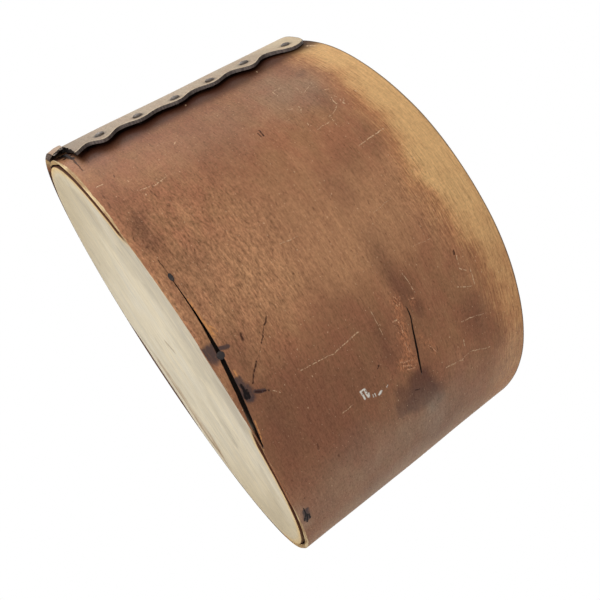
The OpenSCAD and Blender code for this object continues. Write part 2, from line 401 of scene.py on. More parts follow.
def makeSideHoop(materials):
    main, rows = strip["mainColumns"], strip["rows"]
    columns = main + strip["lapColumns"]
    rowHeights = [strip["height"] * row / rows for row in range(rows + 1)]
    bm = bmesh.new()
    bmesh.ops.create_grid(bm, x_segments=columns, y_segments=rows, size=0.5)

    def place(vert):
        return round((vert.co.x + 0.5) * columns), round((vert.co.y + 0.5) * rows)

    def columnNear(angle):
        return min(range(main), key=lambda column: abs(angleAt(columnPlace(column, 0, False)[0]) - angle))

    # open the cracks: each is a run of edges along a row, and the foot split also runs out through the foot
    splitRow = round(lap["split"] / strip["height"] * rows)
    splitFrom = main + lap["splitAfter"]
    cracks = [(crack, columnNear(crack["run"][0][0]), columnNear(crack["run"][-1][0]))
              for crack in (footSplit, knotCrack)]
    sliverEnd = cracks[0][2]
    opened = []
    for edge in bm.edges:
        (columnA, rowA), (columnB, rowB) = (place(vert) for vert in edge.verts)
        left, right = min(columnA, columnB), max(columnA, columnB)
        if rowA == rowB == splitRow and left >= splitFrom:
            opened.append(edge)
        for crack, first, last in cracks:
            if rowA == rowB == crack["row"] and left >= first and right <= last:
                opened.append(edge)
        if left == right == sliverEnd and max(rowA, rowB) <= footSplit["row"]:
            opened.append(edge)
    bmesh.ops.split_edges(bm, edges=opened)

    uvLayer = bm.loops.layers.uv.new("strip")
    thickness = bm.verts.layers.deform.verify()
    paintNames = (*stainEdge, "paleBand", "ironStain", "lapShade",
                  "edgeTone", "wornEdge", "bareFoot", "cavityShade")
    paints = {name: bm.verts.layers.float.new(name) for name in paintNames}
    # each point's place on the flat sheet, which lip of a crack it is on, and whether the sheet ends there
    spots = {}
    for vert in bm.verts:
        column, row = place(vert)
        faces = vert.link_faces
        middle = sum((face.calc_center_median() for face in faces), Vector()) / len(faces)
        side = 0
        if abs(middle.y - vert.co.y) > 0.25 / rows and 0 < row < rows:
            side = 1 if middle.y > vert.co.y else -1
        spots[vert] = (column, row, side, middle.x < vert.co.x - 0.2 / columns)

    # bend the sheet; columns go anticlockwise from above and rows go up, so its faces look outwards
    flat = {}
    for vert, (column, row, side, endsHere) in spots.items():
        onLap = column > main
        below = row < splitRow or (row == splitRow and side < 0)
        height = rowHeights[row]
        if onLap:                   # brings one row of the lap to the height of its split
            cells = lap["blendCells"]
            near = row / splitRow if row < splitRow else max(0.0, 1 - (row - splitRow) / cells)
            height += (lap["split"] - rowHeights[splitRow]) * near * min(1.0, (column - main) / cells)
        turn, height = columnPlace(column, height, below)
        angle = angleAt(turn)
        edge = 0.0
        if column == columns:
            edge = edgeCodes["splinter" if below else "lapEnd"]
        if turn > lap["outerFrom"] and row == splitRow and side:
            opening = lap["splitWide"] * smoothStep(0, 1, (column - splitFrom) / (columns - splitFrom))
            height += side * opening / 2 + 0.6 * wobble(column, side, 3.1, 9.0) * min(1.0, opening)
            edge = edgeCodes["crack"]
        if turn < lap["outerFrom"]:
            for crack, first, last in cracks:
                height = followCrack(crack, angle, height, rowHeights[crack["row"]])
                if not first < column <= last:
                    continue
                opening, middle = between(crack["wide"], angle), between(crack["run"], angle)
                if row == crack["row"] and side:
                    height += side * opening / 2 + 0.12 * wobble(angle, side, 1.1, 4.0) * min(1.0, opening)
                    height = max(height, crack["least"])
                    edge = edgeCodes["crack"]
                if crack is footSplit and row < crack["row"]:       # the sliver narrows to its end
                    height *= max(crack["least"], middle - opening / 2) / middle
            if column == sliverEnd and row <= footSplit["row"] and endsHere:
                turn -= footSplit["endGap"]                         # the sliver's free end
        worn = between(strip["footArris"], angle)
        bite = 0.0
        if row == 0:
            if not edge:
                near = smoothStep(-66, -54, angle) * (1 - smoothStep(14, 24, angle))
                edge = max(edgeCodes["nearFoot"] * near, edgeCodes["farFoot"] * farSide(angle))
                edge = edgeCodes["lapFoot"] if turn > 358 else edge
            height += 0.15 * worn
            bite = strip["footBite"] * worn * smoothStep(0.1, 0.5, worn)
        if row == 1:
            height += (worn - height) * smoothStep(0.2, 0.7, worn)
        if row == rows:
            edge = edgeCodes["mouth"]
            height += strip["mouthUneven"] * wobble(angle, 0, 21, 8.0)
        flat[vert] = (turn, height)
        past = pastTacks(turn)
        loose = below and onLap
        vert.co = stripPoint(turn, height, loose)
        vert.co -= Vector((vert.co.x, vert.co.y, 0)).normalized() * bite
        pared = 1 - lap["pared"] * smoothStep(-14, 6, past)
        if loose:
            pared = 1 - lap["feather"] * smoothStep(-24, -7, past)
        vert[thickness][0] = (thickAt(turn) - bite) / strip["thick"] * pared
        paint = wallPaint(angle, height, turn)
        paint["edgeTone"] = edge
        rubbed = 0.5 * smoothStep(98, 124, height) * smoothStep(348, 362, turn)
        paint["wornEdge"] = max(rubbed, 1 - 0.6 * (columns - column))
        darkened = 0.7 * smoothStep(-66, -54, angle) * (1 - smoothStep(0, 10, angle))
        paint["bareFoot"] = worn * (1 - darkened) if turn < 356 else 0.0
        # painted shade in the hollow under the splinter
        paint["cavityShade"] = smoothStep(-36, -24, past) if loose else 0.0
        for name, value in paint.items():
            vert[paints[name]] = value
    for face in bm.faces:
        for loop in face.loops:
            turn, height = flat[loop.vert]
            loop[uvLayer].uv = (math.radians(turn) * strip["radius"], height)

    piece = finishPiece(bm, "sideHoop", materials, ["side_hoop"])
    piece.vertex_groups.new(name="thickness")
    wall = piece.modifiers.new("wall", "SOLIDIFY")
    wall.thickness = strip["thick"] * metres
    wall.offset = -1
    wall.vertex_group = "thickness"
    wall.material_offset = 1
    wall.material_offset_rim = 2
    soften = piece.modifiers.new("soften", "BEVEL")
    soften.width = strip["edgeSoft"] * metres
    soften.segments = 2
    soften.limit_method = "ANGLE"
    soften.angle_limit = math.radians(50)
    soften.harden_normals = True
    return piece


# Stains, grey dust, and painted light, shade and sheen on the wall: (angle, height, half width in degrees,
# half height, strength)
wallMarks = {
    "bandHeight": [
        (-180, 117), (-95, 118), (-66, 117), (-50, 117), (-36, 110), (-24, 114), (-12, 118), (2, 119),
        (40, 117), (180, 117),
    ],
    "bandStrength": [
        (-180, 0.6), (-95, 0.95), (-40, 0.98), (-28, 0.9), (-14, 0.66), (4, 0.5), (40, 0.42), (180, 0.6),
    ],
    # paler wood, and painted light, mostly from about angle -55 to -25
    "paleWoodAndLight": [
        (-39, 45, 13, 60, 0.6), (-35, 96, 13, 30, 0.55), (-31, 70, 9, 30, 0.5), (-39, 109, 9, 8, 0.3),
        (-54.5, 48, 9, 12, 0.3), (-80, 114, 5, 7, 0.35), (60, 80, 20, 40, 0.4), (140, 70, 22, 40, 0.45),
        (-140, 70, 18, 40, 0.4),
    ],
    # dark stains, and painted shade: the broad darkening from about angle -25 to +10, and patches beside
    # the lap's end from -80 to -70
    "darkStainAndShade": [
        (-21, 80.2, 7.5, 5.5, 0.55), (-14.6, 82, 2.6, 2.6, 0.4), (-12, 62, 7, 4, 0.35),
        (-80, 45, 8, 60, 0.1), (-77, 90, 9, 26, 0.13), (-70, 95, 13, 18, 0.2), (-43, 79, 7, 7, 0.3),
        (-31, 79, 5, 8, 0.22), (-47, 92, 6, 9, 0.12), (-50, 105, 6, 5, 0.25), (-64, 103, 6, 7, 0.22),
        (-76, 108, 1.6, 3, 0.4), (-14, 9, 17, 14, 0.16), (-56, 7, 6, 6, 0.4), (-22, 16, 28, 8, 0.12),
        (-15, 96, 8, 40, 0.1), (-8, 44, 17, 66, 0.34), (-62, 40, 7, 50, 0.1), (8, 40, 9, 45, 0.25),
        (4, 108, 13, 12, 0.25), (-3, 111, 7, 7, 0.22), (20, 40, 10, 70, 0.24), (18, 80, 14, 34, 0.2),
        (70, 60, 18, 30, 0.3), (120, 40, 16, 25, 0.3), (150, 95, 14, 18, 0.25), (-150, 55, 16, 26, 0.3),
        (-6, 104, 6, 9, 0.32), (3.5, 116.5, 4.5, 5, 0.3), (10, 77, 4.5, 6.5, 0.5), (-1, 93, 3, 5, 0.14),
        (-28, 9, 7, 7, 0.3), (-16, 9, 6, 6, 0.28), (-26.5, 76, 4.5, 5, 0.28), (-71.5, 70, 7, 9, 0.2),
        (-44.5, 17, 7, 11, 0.2), (-40, 5, 7, 5, 0.2),
    ],
    "knotStain": [(3.5, 71, 6.5, 10, 0.95), (7, 81, 5, 4, 0.6), (2.5, 61, 4.5, 4.5, 0.7)],
    # grey dust and smudges, and painted sheen on the wall from about angle 8 to 34
    "dustAndSheen": [
        (-72, 98, 14, 20, 0.16), (-71, 70, 10, 60, 0.1), (8, 50, 9, 70, 0.12), (18, 60, 12, 80, 0.2),
        (34, 60, 13, 90, 0.42), (14, 76, 7, 10, 0.2), (-69, 105, 4, 4, 0.08), (14, 124, 13, 14, 0.14),
        (13, 1, 6, 6, 0.25), (95, 70, 20, 40, 0.3), (-160, 70, 20, 40, 0.25),
    ],
    "tornWood": [
        (-5.6, 67, 2.2, 4, 1.0), (-6.4, 71, 3.4, 2.6, 1.0), (-11, 71.8, 3, 2.6, 0.9),
        (-18, 74.5, 2.2, 2.6, 0.9), (-14, 73, 3, 2, 0.7), (-16.4, 81, 1.8, 1.8, 0.5),
        (-5, 81.6, 3, 2, 0.5), (-8, 79, 3, 2, 0.4),
    ],
    "scaly": [(-45, 17, 27, 42, 1.0), (-32, 108, 18, 13, 0.5)],
}
# Where each kind of stain begins to fade and has faded out, as shares of its half size
stainEdge = {
    "paleWoodAndLight": (0.25, 1.25), "darkStainAndShade": (0.25, 1.25), "knotStain": (0.65, 1.1),
    "dustAndSheen": (0.25, 1.25), "tornWood": (0.5, 1.15), "scaly": (0.45, 1.1),
}


def wallPaint(angle, height, turn):
    along = angle * 2                           # about millimetres round the wall
    ragX = 5 * wobble(along, height, 14, 1.0) + 2 * wobble(along, height, 4.5, 2.0)
    ragY = 3.5 * wobble(along, height, 13, 3.0) + 1.4 * wobble(along, height, 4, 4.0)
    paint = {"lapShade": lapShade(turn, height) if turn < lap["shadeTo"] else 0.0, "ironStain": 0.0}
    for name, (soft, sharp) in stainEdge.items():
        ragged = 0.4 if name == "tornWood" else 1.0
        x, y = along + ragX * ragged, height + ragY * ragged
        clear = 1.0
        for spotAngle, spotHeight, wide, tall, strength in wallMarks[name]:
            away = math.hypot((x - spotAngle * 2) / (wide * 2), (y - spotHeight) / tall)
            clear *= 1 - strength * (1 - smoothStep(soft, sharp, away))
        paint[name] = 1 - clear
    start = between(wallMarks["bandHeight"], angle) + ragY * 1.3
    strength = between(wallMarks["bandStrength"], angle)
    paint["paleBand"] = strength * smoothStep(start - 11, start + 9, height)
    if turn > lap["dustFrom"]:                  # the lap has gone dusty grey, browner on its splinter
        ragTurn = turn + 8 * wobble(angle, height, 9, 5.0) + 4 * wobble(angle, height, 3.5, 6.0)
        dusty = smoothStep(334, 360, ragTurn) if turn < 362 else 1.0
        # the lap itself is darker towards its foot, through the same layer
        paint["lapShade"] = 0.3 * smoothStep(354, 364, turn) * (1 - smoothStep(8, 40, height))
        if height < lap["split"]:
            dusty *= 1 - 0.4 * smoothStep(-34, -22, pastTacks(turn))
            paint["lapShade"] = 0.0
        paint["dustAndSheen"] = max(paint["dustAndSheen"], 0.85 * dusty)
        paint["darkStainAndShade"] *= 1 - dusty
        for tackHeight in tackHeights:
            away = math.hypot(pastTacks(turn) / 3.3, (height - tackHeight) / 3.3)
            paint["ironStain"] = max(paint["ironStain"], 0.6 * (1 - smoothStep(0.65, 1.2, away)))
    return paint


# Scratches and marks on the wall: angle and height of one end, then of the other, and the width
wallScratches = {
    "pale": [
        (-49.3, 113, -48.8, 99, 0.35), (-17.7, 55, -16.9, 42, 0.4), (-16.9, 42, -18, 27, 0.3),
        (-65.5, 16.1, -64.6, 22.3, 0.3), (-64.6, 22.3, -65.3, 28.5, 0.4), (-39.4, 54, -39.9, 46.5, 0.2),
        (-13.2, 102.6, -11.4, 109.4, 0.3), (-15, 111.8, -11.4, 111.2, 0.3), (-16.4, 107, -15, 109.6, 0.35),
        (-19.1, 108.3, -16.4, 107, 0.3), (-5.7, 99, -5.3, 103.4, 0.35), (-5.3, 103.4, -3.9, 110.8, 0.25),
        (2, 85.2, 3.1, 94.2, 0.45), (3.1, 94.2, 2.6, 99.2, 0.4), (2.6, 99.2, 5.4, 110.5, 0.35),
        (-23.1, 82.6, -17.7, 84, 0.25), (-73.1, 90.5, -71, 90.2, 0.4), (-73.2, 91.4, -73.1, 94.2, 0.3),
        (-64.9, 92.5, -63.5, 92, 0.45), (-63.1, 90, -63, 91.5, 0.3), (-65.4, 87.7, -65.2, 89.5, 0.3),
        (-62.5, 106.8, -61.4, 105.6, 0.35), (-61.4, 105.6, -60.3, 105.9, 0.45),
        (-62.6, 108.2, -61.7, 108.8, 0.35), (-61, 108.6, -59.7, 108.4, 0.5),
        (-60.7, 110.2, -59.4, 108.6, 0.35), (-59.7, 108.3, -58.5, 110, 0.25),
        (-59.8, 105.1, -58.5, 100.9, 0.3), (-58.5, 100.9, -58.3, 98.6, 0.3),
        (-58.6, 99.2, -55.5, 98.1, 0.22), (-57.2, 96.8, -56.9, 90.4, 0.3), (-59.9, 89.4, -58.4, 88.6, 0.3),
        (-70.9, 99.5, -67.5, 99.3, 0.22), (-65.6, 107, -65.2, 109.2, 0.3),
        (-55.2, 102.6, -54.2, 102.8, 0.25), (-61.1, 117.1, -60.1, 117.7, 0.3),
        (-67.9, 100, -69.5, 106.7, 0.2), (-85.2, 97.4, -84.6, 97, 0.6), (-20, 63.2, -14, 63.3, 0.22),
        (-5.1, 34.4, -5.3, 39.5, 0.4), (-69.5, 15.2, -69.2, 15.6, 0.6), (-64, 16.5, -63.6, 16.9, 0.6),
        (-36, 96, -35.4, 86, 0.14), (-25, 101, -25.6, 92, 0.14), (-18.2, 13.3, -16.8, 16.3, 0.3),
        (-1.4, 97.5, 0.5, 97.4, 0.4), (-85.4, 127, -82.8, 129, 1.3), (-15.1, 69.6, -15, 71.6, 0.4),
        (-87.4, 61, -86.6, 60.4, 0.5), (-21.8, 3.4, -21.4, 3.6, 0.7), (-72.4, 4.3, -72.4, 6.9, 0.5),
        (-43.2, 77, -42.4, 74, 0.2), (-73.6, 42, -72.8, 40, 0.3),
    ],
    "dark": [
        (-29.8, 26.6, -28.8, 24.2, 0.4), (-28.8, 24.2, -27.3, 21.4, 0.2), (-27.3, 21.6, -26.3, 19.7, 0.4),
        (-24, 14.5, -22.7, 11.9, 0.5), (-22.7, 11.9, -21.1, 9.4, 0.45), (-19.5, 8.7, -18.9, 10.7, 0.7),
        (-18.9, 10.7, -18.3, 13.1, 0.5), (-29.8, 15.1, -28.6, 14.7, 0.6), (-64.2, 71.3, -62.2, 70.8, 0.45),
        (-63.6, 69.9, -62.4, 69.7, 0.35), (-9.1, 56.1, -8.7, 55.4, 0.6), (-90.6, 5.9, -85.5, 5.4, 0.6),
        (-85.5, 5.4, -80.8, 4.9, 0.32), (-47.6, 5.5, -49.4, 5.5, 0.25), (1.7, 67.6, 2.4, 70.1, 0.4),
        (-20.2, 108.2, -19.6, 107.8, 0.6),
    ],
    # lighter strokes of the same kind
    "faint": [
        (-69.9, 4, -68.4, 4, 0.5), (-68.4, 4, -66, 3.6, 0.35), (-66, 3.6, -65, 3.1, 0.5),
        (-57.5, 4.2, -55.2, 2.5, 0.4), (-53.2, 6.6, -52.8, 5, 0.8), (-59.8, 5.2, -59.3, 4.4, 0.5),
        (-26.3, 19.7, -24, 14.5, 0.2), (-2.7, 19.6, -1.6, 19.2, 0.7), (3.3, 25.7, 3.6, 25.5, 0.8),
        (7.4, 5.9, 7.7, 5.7, 0.6), (-4.5, 83.9, -3.5, 83.8, 0.4), (-73.5, 13, -72.6, 12.4, 0.5),
        (-47.6, 18.4, -47, 18, 0.5), (-37.5, 24, -36.6, 23.4, 0.5), (-54.4, 15, -53.8, 14.4, 0.5),
        (-19, 74.4, -17.9, 75.3, 0.4), (-14.6, 69.8, -13.9, 70.9, 0.4), (-13.2, 70.7, -11.9, 70.5, 0.4),
        (-6, 66.2, -5, 69.8, 0.4), (-4.8, 66.5, -4, 69.6, 0.4), (-5.3, 80.5, -3.2, 82.4, 0.3),
    ],
    # dark strokes and blots where iron has stained the wood; the wide strokes from angle -98.5 to -89 near
    # the foot also paint the shade in the torn corner's holes
    "iron": [
        (-45.9, 5.7, -44.6, 5.6, 0.7), (-22, 5.5, -20.4, 5.1, 1.0), (-20.6, 5.9, -19.5, 5.4, 1.4),
        (-20.3, 4.7, -19.4, 4.4, 0.9), (10.2, 3.8, 12.5, 3.9, 0.5), (12.5, 3.9, 14.6, 2.3, 0.7),
        (13, 4.3, 15.6, 3.4, 0.7), (13.4, 5, 15, 5.1, 0.55), (-98.5, 4.6, -92.7, 5.2, 2.0),
        (-92.9, 6.6, -92.2, 3.4, 2.0), (-92.6, 5.2, -89.2, 6, 1.8), (50, 2.4, 50, 6.8, 1.3),
        (86, 2.6, 86.4, 6.2, 1.2), (122, 2.4, 121.6, 6.4, 1.3), (157, 2.6, 157.3, 6.8, 1.2),
        (-166, 2.4, -165.6, 6.2, 1.3), (-132, 2.4, -132.4, 6.4, 1.2),
    ],
    # greyer stains round them
    "grime": [
        (-30.2, 1.8, -28.9, 2.0, 4.6), (-30.4, 3.6, -29.6, 4.0, 3.0), (-29.7, 5.4, -29.3, 8.6, 1.5),
        (-23.2, 5.3, -21.8, 5.5, 2.4), (-20.8, 5.6, -19.4, 5.8, 4.0), (-19.6, 8.4, -18.8, 11.6, 1.4),
        (11.4, 4.2, 14.6, 3.8, 2.8),
    ],
    "paint": [
        (-6.7, 46.4, -4.5, 47.0, 0.75), (-6.8, 44.6, -4.7, 45.2, 0.6), (-5.3, 47.7, -4.3, 47.4, 0.5),
        (-4.4, 49.1, -3.8, 49.1, 0.3), (-4.3, 50.2, -3.5, 50.0, 0.3), (-6.7, 46.4, -6.8, 44.6, 0.5),
        (-3.7, 52.9, -3.4, 51.8, 0.9), (-4.1, 56.5, -3.9, 55.9, 0.4),
    ],
    # pale strokes along the lips of the foot split: painted highlight
    "lipHighlight": [
        (-40, 6.1, -35.1, 6.0, 0.7), (-35.1, 6.2, -32, 6.6, 1.0), (-34, 7.2, -32.6, 8.4, 0.5),
        (-25, 6.0, -21.4, 4.9, 0.5), (-15, 2.9, -10, 1.2, 0.4),
    ],
    # torn fibres that stand up round the knot
    "curl": [
        (-19.6, 74.5, -18, 76.5, 0.45), (-18.4, 73.7, -17.3, 74.6, 0.4), (-18.1, 76.3, -17.1, 75.4, 0.35),
        (-15.1, 69.3, -15.2, 71, 0.4), (-15.2, 71, -14.3, 72.1, 0.4), (-13.5, 72.1, -12, 71.7, 0.4),
        (-13.5, 69.5, -12.1, 70.2, 0.35), (-6.6, 65.7, -5.4, 71, 0.55), (-5.7, 65.8, -4.5, 69.5, 0.5),
        (-4.1, 67.2, -3.5, 70.9, 0.45), (-6, 80.4, -3.1, 83.2, 0.3), (-17.1, 79.7, -16.7, 82.5, 0.5),
        (-9.8, 70.6, -7.4, 71.2, 0.4),
    ],
}


def sidePlace(angle, height):
    return (math.radians(turnAt(angle)) * strip["radius"], height, 0.0)


wallTones = {
    "body": colour(160, 109, 80), "olive": colour(154, 113, 80), "light": colour(184, 137, 99),
    "deep": colour(136, 89, 67), "amber": colour(194, 134, 89), "band": colour(214, 170, 117),
    "stainAndShadeTone": colour(92, 58, 48), "dustAndSheenGrey": colour(180, 167, 146), "iron": colour(22, 19, 20),
    "grime": colour(72, 60, 60), "torn": colour(184, 122, 86), "scratch": colour(226, 190, 152),
    "line": colour(54, 31, 27), "paint": colour(228, 222, 210), "pore": colour(92, 56, 44),
    "lipHighlight": colour(214, 148, 90), "shade": colour(48, 20, 11), "worn": colour(214, 196, 164),
    "bare": colour(164, 132, 95), "bareLight": colour(214, 188, 145), "tornShadow": colour(98, 60, 44),
    "curl": colour(212, 158, 122), "mouth": colour(70, 64, 62),
}


def makeWallMaterial():
    material, pen = newMaterial("agedSideWood")
    spot = pen.node("ShaderNodeUVMap", {"uv_map": "strip"})
    up = spot.axis(1)
    broad = spot.grain((60, 34, 1), 3, 0.5, 3.0)
    hue = spot.grain((17, 9, 1), 4, 0.6, 41.0)
    mottle = spot.grain((11, 6, 1), 5, 0.65, 11.0)
    flake = spot.grain((5.2, 1.5, 1), 4, 0.65, 29.0)
    streak = spot.grain((16, 0.8, 1), 4, 0.62, 5.0)
    cross = spot.grain((0.9, 3.0, 1), 3, 0.6, 47.0)
    fine = spot.grain((1.7, 0.75, 1), 3, 0.6, 7.0)
    hair = spot.grain((7, 0.7, 1), 3, 0.6, 53.0)
    fleck = spot.grain((2.4, 0.8, 1), 2, 0.6, 17.0)
    speck = spot.grain((1.2, 0.9, 1), 1, 0.5, 23.0)

    # old wood, its pale band round the mouth, stains, grey dust, and painted light, shade and sheen
    band = pen.attribute("paleBand") * (0.55 + 0.75 * mottle + 0.15 * streak)
    bandEdge = band * (1.0 - band) * 1.6
    tornWood = pen.attribute("tornWood")
    torn = tornWood * fine.step(0.47, 0.58)
    tone = pen.mix(hue.step(0.40, 0.62) * 0.6, wallTones["olive"], first=wallTones["body"])
    tone = tone.cover(wallTones, [
        (mottle.step(0.42, 0.70) * 0.4, "light"),
        (broad.step(0.56, 0.36) * 0.5, "deep"),
        (pen.attribute("paleWoodAndLight") * (0.2 + 1.3 * flake), "light"),
        (band, "amber"),
        (band.step(0.30, 1.0), "band"),
        (bandEdge * hair.step(0.52, 0.64), "band"),
        (bandEdge * hair.step(0.46, 0.34), "pore"),
        (pen.attribute("darkStainAndShade") * (0.5 + 1.0 * mottle), "stainAndShadeTone"),
        (pen.attribute("knotStain") * (0.4 + 0.9 * mottle), "stainAndShadeTone"),
        (pen.attribute("dustAndSheen") * (0.45 + 0.9 * mottle), "dustAndSheenGrey"),
        (tornWood * 0.4, "torn"),
        (torn * 0.8, "torn"),
        # dark flecks in the torn wood: painted shadow under the lifted flakes
        (tornWood * fine.step(0.44, 0.34) * 0.7, "tornShadow"),
    ])

    # grain, pores, the painted shadow beside the lap's end, the worn edges and a darker mouth
    scaly = pen.attribute("scaly")
    weave = 1.0 + (streak - 0.5) * (0.4 + 0.25 * band) + (cross - 0.5) * 0.3 + (hair - 0.5) * (0.8 * scaly)
    weave = weave + (fine - 0.5) * (0.85 + 0.9 * scaly - 0.3 * band) + (flake - 0.5) * (0.35 + 0.7 * scaly)
    tone = tone.shade(weave).cover(wallTones, [
        (fleck.step(0.62, 0.70) * (0.45 - 0.35 * band), "pore"),
        (speck.step(0.70, 0.78) * 0.45, "scratch"),
        # painted shadow beside the lap's end
        (pen.attribute("lapShade"), "shade"),
        (pen.attribute("wornEdge") * (0.4 + 0.6 * mottle), "worn"),
    ])
    bare = (pen.attribute("bareFoot") + (fleck - 0.5) * 0.9 - up).step(-0.1, 0.15)
    tone = tone.mix(bare, pen.mix(streak.step(0.46, 0.62), wallTones["bareLight"], first=wallTones["bare"]))
    # darker along the top of the wall, at the mouth
    mouthDarkening = pen.attribute("edgeTone").step(0.22, 0.42) * up.step(126, 129)
    tone = tone.mix(mouthDarkening * 0.75, wallTones["mouth"])

    # scratches and other marks, with painted highlights on the split's lips and painted shade in the torn
    # corner's holes
    uneven = spot.shaken((1.5, 0.8, 0.0), 0.35, 3.0, 0.5)
    masks = {}
    for name, marks in wallScratches.items():
        for angle, height, toAngle, toHeight, width in marks:
            mark = uneven.line(sidePlace(angle, height), sidePlace(toAngle, toHeight), width)
            masks[name] = masks[name].most(mark) if name in masks else mark
    pale = masks["pale"] * speck.step(0.34, 0.66)
    dark = masks["dark"] * fleck.step(0.26, 0.52)
    daub = masks["paint"] * speck.step(0.34, 0.50)
    iron = (masks["iron"] + (fine - 0.5) * 1.6 + (flake - 0.5) * 0.8).step(0.25, 1.0)
    grime = (masks["grime"] * (0.2 + 1.5 * flake) + (fine - 0.5) * 0.9).step(0.12, 1.0)
    tone = tone.cover(wallTones, [
        (pale * 0.7, "scratch"),
        (masks["lipHighlight"] * fleck.step(0.32, 0.56) * 0.75, "lipHighlight"),
        (masks["curl"] * fine.step(0.40, 0.58) * 0.85, "curl"),
        (grime * 0.9, "grime"),
        (pen.attribute("ironStain") * (0.6 + 0.7 * fine), "iron"),
        (iron * 0.95, "iron"),
        (dark * 0.9, "line"),
        (masks["faint"] * fleck.step(0.34, 0.60) * 0.55, "line"),
        (daub, "paint"),
    ])
    height = streak * 0.5 + fine * 0.6 + torn * 1.6 * fleck
    height = height - pale * 0.8 - dark * 1.2 - iron * 0.8 + daub + masks["curl"]
    rough = 0.52 + 0.18 * mottle - band * 0.05
    endMaterial(pen, {"Base Color": tone, "Roughness": rough, "Specular IOR Level": 0.05},
                height, 0.00025, 0.7)
    return material


insideTones = {
    "body": colour(186, 146, 98), "light": colour(206, 170, 120), "deep": colour(160, 118, 80),
    "low": colour(128, 92, 66), "joint": colour(62, 40, 32), "cavityShade": colour(40, 26, 20),
}


def makeInsideMaterial():
    material, pen = newMaterial("insideWood")
    spot = pen.node("ShaderNodeUVMap", {"uv_map": "strip"})
    up = spot.axis(1)
    broad = spot.grain((90, 36, 1), 3, 0.5, 43.0)
    mottle = spot.grain((22, 5, 1), 4, 0.6, 31.0)
    streak = spot.grain((38, 0.9, 1), 4, 0.6, 35.0)
    fine = spot.grain((7, 0.4, 1), 3, 0.6, 37.0)
    tone = pen.mix(mottle.step(0.4, 0.75) * 0.6, insideTones["light"], first=insideTones["body"])
    tone = tone.cover(insideTones, [
        (broad.step(0.52, 0.30) * 0.6, "deep"),
        # darker towards the bottom
        (up.step(26, 8) * (0.3 + 0.5 * mottle), "low"),
        (up.step(5, 3), "joint"),               # darker in the joint with the board
    ])
    tone = tone.shade(0.68 + 0.40 * streak + 0.26 * fine)
    # painted shade in the hollow under the lap's splinter
    tone = tone.mix(pen.attribute("cavityShade") * 0.9, insideTones["cavityShade"])
    endMaterial(pen, {"Base Color": tone, "Roughness": 0.55 + 0.15 * mottle, "Specular IOR Level": 0.35},
                streak * 0.6 + fine * 0.5, 0.0002, 0.6)
    return material


edgeTones = {
    "fresh": colour(198, 164, 114), "greyed": colour(158, 126, 90), "foot": colour(150, 98, 64),
    "rim": colour(92, 62, 44), "fibre": colour(158, 148, 138), "fibreDark": colour(46, 34, 28),
    "rib": colour(116, 104, 98), "ribDark": colour(86, 76, 73), "crack": colour(30, 22, 19),
}


def makeEdgeMaterial():
    material, pen = newMaterial("stripEdgeWood")
    spot = pen.objectSpot()
    layers = spot.grain((0.0012, 0.0012, 0.004), 3, 0.6, 2.0)
    patch = spot.grain((0.016, 0.016, 0.010), 3, 0.6, 6.0)
    rib = spot.grain((0.004, 0.004, 0.0007), 2, 0.5, 4.0)
    edge = pen.attribute("edgeTone")
    fibres = pen.mix(layers.step(0.44, 0.54), edgeTones["fibre"], first=edgeTones["fibreDark"])
    ribs = pen.mix(rib.step(0.40, 0.66), edgeTones["rib"], first=edgeTones["ribDark"])
    tone = pen.mix(patch.step(0.45, 0.68), edgeTones["greyed"], first=edgeTones["fresh"])
    tone = tone.cover(edgeTones, [(edge.step(0.05, 0.30), "foot"), (edge.step(0.32, 0.40), "rim")])
    tone = tone.mix(edge.step(0.46, 0.54), fibres).mix(edge.step(0.60, 0.68), ribs)
    # near black on the walls of the cracks and the lap's split: painted shade inside them
    tone = tone.mix(edge.step(0.84, 0.98), edgeTones["crack"]).shade(0.72 + 0.5 * layers)
    endMaterial(pen, {"Base Color": tone, "Roughness": 0.6 + 0.2 * layers, "Specular IOR Level": 0.3},
                layers, 0.00015, 0.6)
    return material


sideHoop = makeSideHoop([makeWallMaterial(), makeInsideMaterial(), makeEdgeMaterial()])
print("side hoop done:", len(sideHoop.data.polygons), "faces before its wall")


# Base board: a disc let into the foot of the hoop, worn and unevenly shrunk
board = {
    "full": 112.0,                              # radius before it is fitted to the hoop
    "thick": boardHigh.z, "wear": 0.5, "steps": 240,
    # the gap round it, and how far its edge has warped up or down, by angle
    "gap": [
        (-180, 0.9), (-130, 1.0), (-100, 0.7), (-84, 0.6), (-70, 0.6), (-60, 0.6), (-54, 0.15),
        (-14, 0.15), (-9.5, 1.0), (6, 0.9), (20, 0.6), (30, 0.5), (60, 0.6), (100, 0.9), (180, 0.9),
    ],
    "warp": [
        (-180, 0), (-125, -0.3), (-90, -0.35), (-60, -0.35), (-54, 0.4), (-20, 0.4), (-13, 0.1),
        (-9, -0.6), (6, -0.5), (20, -0.35), (30, -0.25), (60, -0.15), (90, 0), (118, 0), (132, 0.8),
        (156, 0.9), (168, 0.1), (180, 0),
    ],
    "rings": [0, 12, 26, 40, 54, 66, 78, 88, 96, 103, 108],
    "hollow": 0.25,                             # how far the middle is worn up from the foot
}


def boardReach(angle):
    return strip["radius"] * ovalAt(angle) - strip["thick"] - between(board["gap"], angle)


